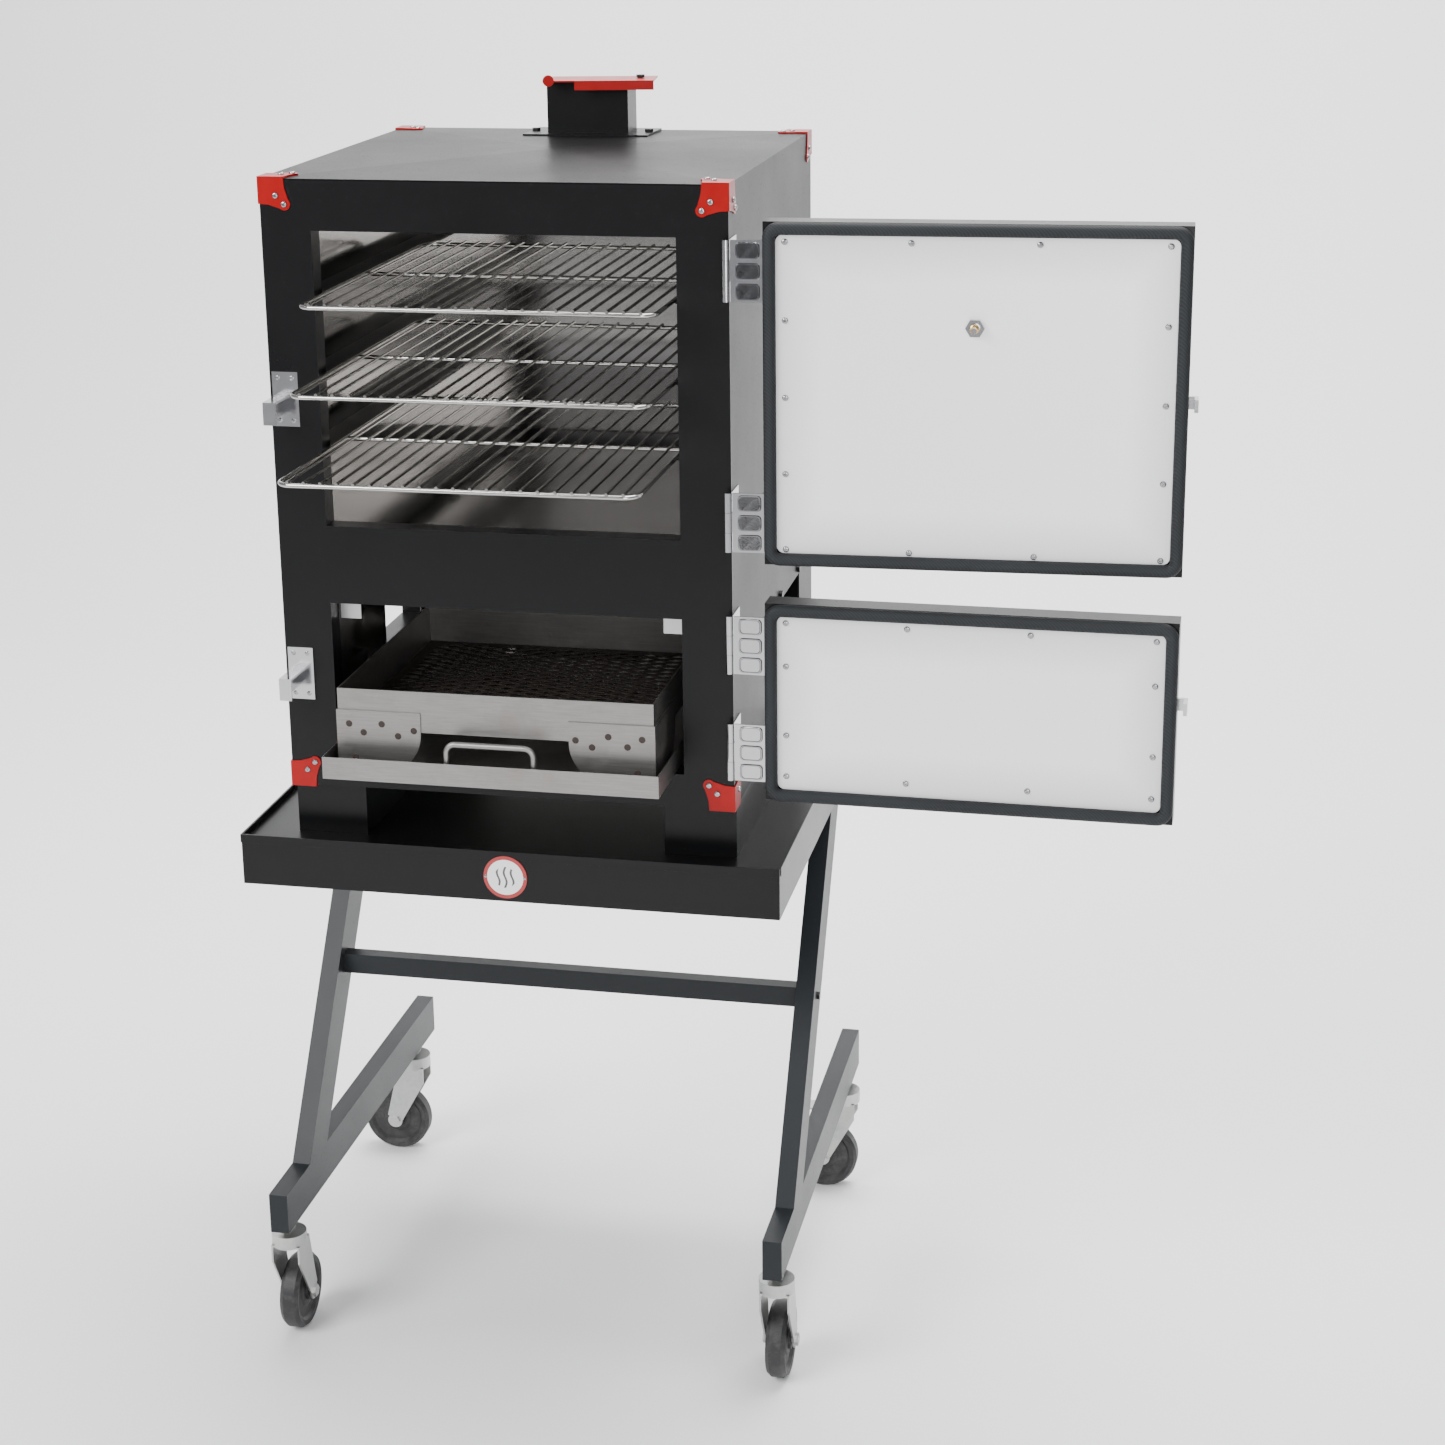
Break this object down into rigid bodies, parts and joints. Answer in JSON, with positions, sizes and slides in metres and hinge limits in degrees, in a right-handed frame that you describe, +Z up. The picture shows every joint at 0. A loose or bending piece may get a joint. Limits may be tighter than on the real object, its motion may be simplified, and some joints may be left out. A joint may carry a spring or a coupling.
{
  "type": "cabinet smoker",
  "caption": "Upright two-chamber charcoal cabinet smoker with side-hung doors, pull-out racks and ash pan, chimney damper, on a tray cart with swivel casters.",
  "frame": {"origin": "on the floor under the middle of the smoker's box with both doors open", "axes": "+Z up along the longest extent, +X to the right across the front, +Y to the back"},
  "size_m": [1.325, 0.867, 1.7585],
  "materials": {
    "black_paint": "satin powder coat",
    "red_paint": "gloss powder coat",
    "bright_steel": "bright, lightly brushed",
    "mill_steel": "raw mill finish",
    "chrome": "polished",
    "zinc": "zinc plated",
    "seal_rope": "matt",
    "tyre_rubber": "matt",
    "mineral_wool": "matt",
    "badge_enamel": "gloss",
    "black_bolt": "black oxide",
    "grate_steel": "fire blackened"
  },
  "bodies": {
    "cabinet_and_cart": {"left_skin": "black_paint", "right_skin": "black_paint", "back_skin": "black_paint", "front_frame": "black_paint", "top_panel": "black_paint", "rack_runners": "black_paint", "chimney": "black_paint", "skids": "black_paint", "deck_tray": "black_paint", "left_leg": "black_paint", "right_leg": "black_paint", "crossbar": "black_paint", "left_base_bar": "black_paint", "right_base_bar": "black_paint", "left_liner": "bright_steel", "right_liner": "bright_steel", "back_liner": "bright_steel", "ceiling_liner": "bright_steel", "firebox_floor": "bright_steel", "chamber_floor": "bright_steel", "heat_deflector": "bright_steel", "wall_insulation": "mineral_wool", "corner_brackets": "red_paint", "frame_hinge_leaves": "chrome", "hinge_pins": "chrome", "latch_strikes": "chrome", "panel_screws": "chrome", "caster_stems": "zinc", "badge": "badge_enamel", "hex_bolts": "black_bolt"},
    "upper_door": {"upper_door_shell": "black_paint", "upper_door_liner": "bright_steel", "upper_gasket": "seal_rope", "upper_door_leaves": "chrome", "upper_door_screws": "chrome", "thermometer": "chrome"},
    "upper_latch_lever": {"upper_latch": "chrome"},
    "lower_door": {"lower_door_shell": "black_paint", "lower_door_liner": "bright_steel", "lower_gasket": "seal_rope", "lower_door_leaves": "chrome", "lower_door_screws": "chrome"},
    "lower_latch_lever": {"lower_latch": "chrome"},
    "low_rack": {"rack_low": "chrome"},
    "middle_rack": {"rack_middle": "chrome"},
    "high_rack": {"rack_high": "chrome"},
    "ash_drawer": {"ash_pan": "mill_steel", "charcoal_basket": "mill_steel", "basket_grate": "grate_steel"},
    "damper": {"damper_plate": "red_paint"},
    "front_left_swivel": {"front_left_fork": "zinc"},
    "front_left_roller": {"front_left_wheel": "tyre_rubber"},
    "front_right_swivel": {"front_right_fork": "zinc"},
    "front_right_roller": {"front_right_wheel": "tyre_rubber"},
    "rear_left_swivel": {"rear_left_fork": "zinc"},
    "rear_left_roller": {"rear_left_wheel": "tyre_rubber"},
    "rear_left_pedal": {"rear_left_brake": "zinc"},
    "rear_right_swivel": {"rear_right_fork": "zinc"},
    "rear_right_roller": {"rear_right_wheel": "tyre_rubber"},
    "rear_right_pedal": {"rear_right_brake": "zinc"}
  },
  "joints": [
    {"name": "upper_door_hinge", "type": "hinge", "parent": "cabinet_and_cart", "child": "upper_door", "pos_m": [0.08203, -0.2445, 1.4095], "axis": [0, 0, 1], "range_deg": [-182.2, 24]},
    {"name": "upper_latch_pivot", "type": "hinge", "parent": "upper_door", "child": "upper_latch_lever", "pos_m": [0.62628, -0.18857, 1.4055], "axis": [-0.0384, 0.9993, 0], "range_deg": [0, 20]},
    {"name": "lower_door_hinge", "type": "hinge", "parent": "cabinet_and_cart", "child": "lower_door", "pos_m": [0.08203, -0.2445, 1.0095], "axis": [0, 0, 1], "range_deg": [-179.3, 24]},
    {"name": "lower_latch_pivot", "type": "hinge", "parent": "lower_door", "child": "lower_latch_lever", "pos_m": [0.62841, -0.21617, 1.0255], "axis": [0.0122, 0.9999, 0], "range_deg": [0, 20]},
    {"name": "low_rack_slide", "type": "slide", "parent": "cabinet_and_cart", "child": "low_rack", "axis": [0, -1, 0], "range_m": [-0.2085, 0.0279]},
    {"name": "middle_rack_slide", "type": "slide", "parent": "cabinet_and_cart", "child": "middle_rack", "axis": [0, -1, 0], "range_m": [-0.1485, 0.02]},
    {"name": "high_rack_slide", "type": "slide", "parent": "cabinet_and_cart", "child": "high_rack", "axis": [0, -1, 0], "range_m": [-0.1005, 0.01367]},
    {"name": "ash_drawer_slide", "type": "slide", "parent": "cabinet_and_cart", "child": "ash_drawer", "axis": [0, -1, 0], "range_m": [-0.1055, 0.01455]},
    {"name": "damper_pivot", "type": "hinge", "parent": "cabinet_and_cart", "child": "damper", "pos_m": [-0.14897, 0.2965, 1.7485], "axis": [0, 0, 1], "range_deg": [-8, 82]},
    {"name": "front_left_swivel_turn", "type": "hinge", "parent": "cabinet_and_cart", "child": "front_left_swivel", "pos_m": [-0.57647, -0.2235, 0.1645], "axis": [0, 0, 1], "continuous": true},
    {"name": "front_left_wheel_spin", "type": "hinge", "parent": "front_left_swivel", "child": "front_left_roller", "pos_m": [-0.57647, -0.1915, 0.054], "axis": [1, 0, 0], "continuous": true},
    {"name": "front_right_swivel_turn", "type": "hinge", "parent": "cabinet_and_cart", "child": "front_right_swivel", "pos_m": [0.13453, -0.2235, 0.1645], "axis": [0, 0, 1], "continuous": true},
    {"name": "front_right_wheel_spin", "type": "hinge", "parent": "front_right_swivel", "child": "front_right_roller", "pos_m": [0.13453, -0.1915, 0.054], "axis": [1, 0, 0], "continuous": true},
    {"name": "rear_left_swivel_turn", "type": "hinge", "parent": "cabinet_and_cart", "child": "rear_left_swivel", "pos_m": [-0.57647, 0.3665, 0.1645], "axis": [0, 0, 1], "continuous": true},
    {"name": "rear_left_wheel_spin", "type": "hinge", "parent": "rear_left_swivel", "child": "rear_left_roller", "pos_m": [-0.60847, 0.3665, 0.054], "axis": [0, 1, 0], "continuous": true},
    {"name": "rear_left_pedal_pivot", "type": "hinge", "parent": "rear_left_swivel", "child": "rear_left_pedal", "pos_m": [-0.59688, 0.3665, 0.135], "axis": [0, -1, 0], "range_deg": [0, 12]},
    {"name": "rear_right_swivel_turn", "type": "hinge", "parent": "cabinet_and_cart", "child": "rear_right_swivel", "pos_m": [0.13453, 0.3665, 0.1645], "axis": [0, 0, 1], "continuous": true},
    {"name": "rear_right_wheel_spin", "type": "hinge", "parent": "rear_right_swivel", "child": "rear_right_roller", "pos_m": [0.10253, 0.3665, 0.054], "axis": [0, 1, 0], "continuous": true},
    {"name": "rear_right_pedal_pivot", "type": "hinge", "parent": "rear_right_swivel", "child": "rear_right_pedal", "pos_m": [0.11413, 0.3665, 0.135], "axis": [0, -1, 0], "range_deg": [0, 12]}
  ],
  "couplings": [
    {"joint": "low_rack_slide", "follows": "upper_door_hinge", "m_per_rad": 0.065409},
    {"joint": "middle_rack_slide", "follows": "upper_door_hinge", "m_per_rad": 0.046541},
    {"joint": "high_rack_slide", "follows": "upper_door_hinge", "m_per_rad": 0.031447},
    {"joint": "ash_drawer_slide", "follows": "lower_door_hinge", "m_per_rad": 0.033553}
  ]
}
